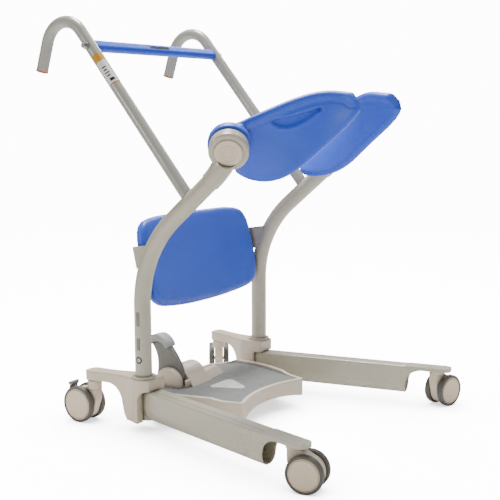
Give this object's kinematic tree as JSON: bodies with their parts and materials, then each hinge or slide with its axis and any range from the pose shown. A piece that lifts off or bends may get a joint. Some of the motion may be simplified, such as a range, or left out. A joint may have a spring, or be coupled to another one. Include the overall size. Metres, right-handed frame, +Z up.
{
  "type": "sit to stand lift",
  "caption": "Wheeled stand-up aid: footplate, bent side tubes with hooked handles, knee pad, swinging seat flaps and spreading legs on castors.",
  "frame": {"origin": "on the floor under the middle of the bounding box", "axes": "+X towards the open end where the person steps on, +Y towards the person's right, +Z up"},
  "size_m": [1.001, 0.8846, 1.1131],
  "materials": {
    "blue_bar": "moulded",
    "blue_pad": "fine moulded grain, soft skin",
    "brake_plastic": "moulded",
    "cap_plastic": "moulded",
    "fork_plastic": "moulded",
    "frame_paint": "smooth powder coat",
    "grip_end": "moulded",
    "handle_paint": "smooth powder coat",
    "heel_patch": "smooth",
    "mat": "fine anti-slip grain",
    "pedal_plastic": "moulded",
    "pedal_rubber": "ribbed",
    "steel": "zinc plated",
    "tray_plastic": "fine moulded grain",
    "tyre": "worn smooth",
    "wheel_plastic": "moulded"
  },
  "bodies": {
    "chassis": {"corner_casting_left": "frame_paint", "corner_casting_right": "frame_paint", "cross_member": "frame_paint", "crossbar": "blue_bar", "crossbar_bolts": "steel", "footplate_mat": "mat", "footplate_tray": "tray_plastic", "handle_plugs": "grip_end", "handle_tube_left": "handle_paint", "handle_tube_right": "handle_paint", "heel_patch": "heel_patch", "hub_caps": "cap_plastic", "hub_casting_left": "frame_paint", "hub_casting_right": "frame_paint", "knee_brackets": "frame_paint", "knee_pad": "blue_pad", "knee_pad_screws": "steel", "leg_pivot_pins": "steel", "main_tube_left": "frame_paint", "main_tube_right": "frame_paint", "pedal_axle": "steel", "pedal_housing": "tray_plastic", "rear_kingpins": "steel", "seat_pivot_pins": "steel"},
    "leg_left": {"leg_beam_left": "frame_paint", "leg_end_plate_left": "frame_paint", "front_kingpin_left": "steel"},
    "leg_right": {"leg_beam_right": "frame_paint", "leg_end_plate_right": "frame_paint", "front_kingpin_right": "steel"},
    "pedal": {"pedal_arm": "pedal_plastic", "pedal_pad": "pedal_rubber"},
    "flap_left": {"seat_flap_left": "blue_pad"},
    "flap_right": {"seat_flap_right": "blue_pad"},
    "castor_front_left": {"castor_fork_front_left": "fork_plastic", "castor_axle_front_left": "steel"},
    "wheel_front_left_outer": {"tyre_front_left_outer": "tyre", "wheel_front_left_outer": "wheel_plastic"},
    "wheel_front_left_inner": {"tyre_front_left_inner": "tyre", "wheel_front_left_inner": "wheel_plastic"},
    "castor_front_right": {"castor_fork_front_right": "fork_plastic", "castor_axle_front_right": "steel"},
    "wheel_front_right_outer": {"tyre_front_right_outer": "tyre", "wheel_front_right_outer": "wheel_plastic"},
    "wheel_front_right_inner": {"tyre_front_right_inner": "tyre", "wheel_front_right_inner": "wheel_plastic"},
    "castor_rear_left": {"castor_fork_rear_left": "fork_plastic", "castor_axle_rear_left": "steel"},
    "wheel_rear_left_outer": {"tyre_rear_left_outer": "tyre", "wheel_rear_left_outer": "wheel_plastic"},
    "wheel_rear_left_inner": {"tyre_rear_left_inner": "tyre", "wheel_rear_left_inner": "wheel_plastic"},
    "brake_rear_left": {"brake_tab_rear_left": "brake_plastic"},
    "castor_rear_right": {"castor_fork_rear_right": "fork_plastic", "castor_axle_rear_right": "steel"},
    "wheel_rear_right_outer": {"tyre_rear_right_outer": "tyre", "wheel_rear_right_outer": "wheel_plastic"},
    "wheel_rear_right_inner": {"tyre_rear_right_inner": "tyre", "wheel_rear_right_inner": "wheel_plastic"},
    "brake_rear_right": {"brake_tab_rear_right": "brake_plastic"}
  },
  "joints": [
    {"name": "leg_left_spread", "type": "hinge", "parent": "chassis", "child": "leg_left", "pos_m": [-0.134, -0.281, 0.08], "axis": [0, 0, 1], "range_deg": [0, 13.1]},
    {"name": "leg_right_spread", "type": "hinge", "parent": "chassis", "child": "leg_right", "pos_m": [-0.134, 0.231, 0.08], "axis": [0, 0, 1], "range_deg": [-13.11, 0.01]},
    {"name": "pedal_rock", "type": "hinge", "parent": "chassis", "child": "pedal", "pos_m": [-0.168, -0.133, 0.096], "axis": [0, 1, 0], "range_deg": [-0.01, 26.22]},
    {"name": "seat_flap_left_swing", "type": "hinge", "parent": "chassis", "child": "flap_left", "pos_m": [0.155, -0.298, 0.764], "axis": [0.4801, -0.7701, -0.4201], "range_deg": [0, 95]},
    {"name": "seat_flap_right_swing", "type": "hinge", "parent": "chassis", "child": "flap_right", "pos_m": [0.155, 0.248, 0.764], "axis": [0.4801, 0.7701, -0.4201], "range_deg": [-95, 0]},
    {"name": "castor_front_left_swivel", "type": "hinge", "parent": "leg_left", "child": "castor_front_left", "pos_m": [0.41532, -0.40883, 0.09], "axis": [0, 0, 1], "continuous": true},
    {"name": "wheel_front_left_outer_spin", "type": "hinge", "parent": "castor_front_left", "child": "wheel_front_left_outer", "pos_m": [0.44748, -0.40141, 0.046], "axis": [-0.225, 0.9744, 0], "continuous": true},
    {"name": "wheel_front_left_inner_spin", "type": "hinge", "parent": "castor_front_left", "child": "wheel_front_left_inner", "pos_m": [0.44748, -0.40141, 0.046], "axis": [-0.225, 0.9744, 0], "continuous": true},
    {"name": "castor_front_right_swivel", "type": "hinge", "parent": "leg_right", "child": "castor_front_right", "pos_m": [0.41532, 0.35883, 0.09], "axis": [0, 0, 1], "continuous": true},
    {"name": "wheel_front_right_outer_spin", "type": "hinge", "parent": "castor_front_right", "child": "wheel_front_right_outer", "pos_m": [0.42386, 0.39071, 0.046], "axis": [-0.9659, 0.2588, 0], "continuous": true},
    {"name": "wheel_front_right_inner_spin", "type": "hinge", "parent": "castor_front_right", "child": "wheel_front_right_inner", "pos_m": [0.42386, 0.39071, 0.046], "axis": [-0.9659, 0.2588, 0], "continuous": true},
    {"name": "castor_rear_left_swivel", "type": "hinge", "parent": "chassis", "child": "castor_rear_left", "pos_m": [-0.302, -0.311, 0.09], "axis": [0, 0, 1], "continuous": true},
    {"name": "wheel_rear_left_outer_spin", "type": "hinge", "parent": "castor_rear_left", "child": "wheel_rear_left_outer", "pos_m": [-0.34194, -0.31309, 0.051], "axis": [0.0523, -0.9986, 0], "continuous": true},
    {"name": "wheel_rear_left_inner_spin", "type": "hinge", "parent": "castor_rear_left", "child": "wheel_rear_left_inner", "pos_m": [-0.34194, -0.31309, 0.051], "axis": [0.0523, -0.9986, 0], "continuous": true},
    {"name": "brake_rear_left_press", "type": "hinge", "parent": "castor_rear_left", "child": "brake_rear_left", "pos_m": [-0.36192, -0.31414, 0.071], "axis": [0.0523, -0.9986, 0], "range_deg": [0, 8]},
    {"name": "castor_rear_right_swivel", "type": "hinge", "parent": "chassis", "child": "castor_rear_right", "pos_m": [-0.302, 0.261, 0.09], "axis": [0, 0, 1], "continuous": true},
    {"name": "wheel_rear_right_outer_spin", "type": "hinge", "parent": "castor_rear_right", "child": "wheel_rear_right_outer", "pos_m": [-0.32607, 0.29295, 0.051], "axis": [-0.7986, -0.6018, 0], "continuous": true},
    {"name": "wheel_rear_right_inner_spin", "type": "hinge", "parent": "castor_rear_right", "child": "wheel_rear_right_inner", "pos_m": [-0.32607, 0.29295, 0.051], "axis": [-0.7986, -0.6018, 0], "continuous": true},
    {"name": "brake_rear_right_press", "type": "hinge", "parent": "castor_rear_right", "child": "brake_rear_right", "pos_m": [-0.33811, 0.30892, 0.071], "axis": [-0.7986, -0.6018, 0], "range_deg": [0, 8]}
  ],
  "couplings": [
    {"joint": "leg_right_spread", "follows": "leg_left_spread", "ratio": -1},
    {"joint": "pedal_rock", "follows": "leg_left_spread", "ratio": 2}
  ]
}
